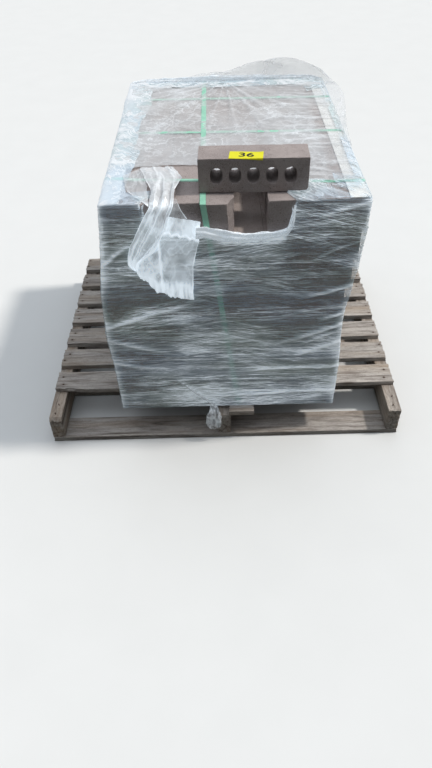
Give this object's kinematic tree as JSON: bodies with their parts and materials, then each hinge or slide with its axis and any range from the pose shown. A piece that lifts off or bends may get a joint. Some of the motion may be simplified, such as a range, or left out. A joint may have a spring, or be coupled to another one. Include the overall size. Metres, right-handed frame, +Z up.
{
  "type": "pallet of bricks",
  "caption": "Strapped, film-wrapped cube of cored facing bricks on a worn wooden pallet, film torn open at the front with a loose brick on top.",
  "frame": {"origin": "on the floor under the middle of the pallet, at the underside of the centre bottom board", "axes": "+X along the pallet's long side to the viewer's right, +Y from the torn front to the rear, +Z up"},
  "size_m": [1.219, 1.0347, 0.978],
  "materials": {
    "wood": "weathered grey brown, rough",
    "nails": "rusted",
    "brick": "matte fired clay with fine pits",
    "strap": "smooth mint green polyester strap",
    "edge_board": "white laminated board",
    "film": "clear stretch film, milky where wrinkled",
    "sticker": "bright yellow label"
  },
  "bodies": {
    "root": {"stringer_left": "wood", "stringer_middle": "wood", "stringer_right": "wood", "lead_board_stub": "wood", "lead_board_nails": "nails", "deck_board_2": "wood", "deck_board_3": "wood", "deck_board_4": "wood", "deck_board_5": "wood", "deck_board_6": "wood", "deck_board_7": "wood", "deck_board_8": "wood", "bottom_board_1": "wood", "bottom_board_2": "wood", "bottom_board_3": "wood", "bottom_board_4": "wood", "bottom_board_5": "wood", "course_1_bricks": "brick", "course_2_bricks": "brick", "course_3_bricks": "brick", "course_4_bricks": "brick", "course_5_bricks": "brick", "course_6_bricks": "brick", "course_7_bricks": "brick", "hidden_brick_core": "brick", "top_course_bricks": "brick", "broken_brick": "brick", "gap_brick": "brick", "loose_brick": "brick", "strap_front": "strap", "strap_middle": "strap", "strap_rear": "strap", "strap_lengthwise": "strap", "edge_board_left": "edge_board", "edge_board_right": "edge_board", "film_wrap": "film", "film_top_sheet": "film", "film_hood": "film", "film_flap": "film", "film_tail": "film", "lot_sticker": "sticker"}
  },
  "joints": []
}
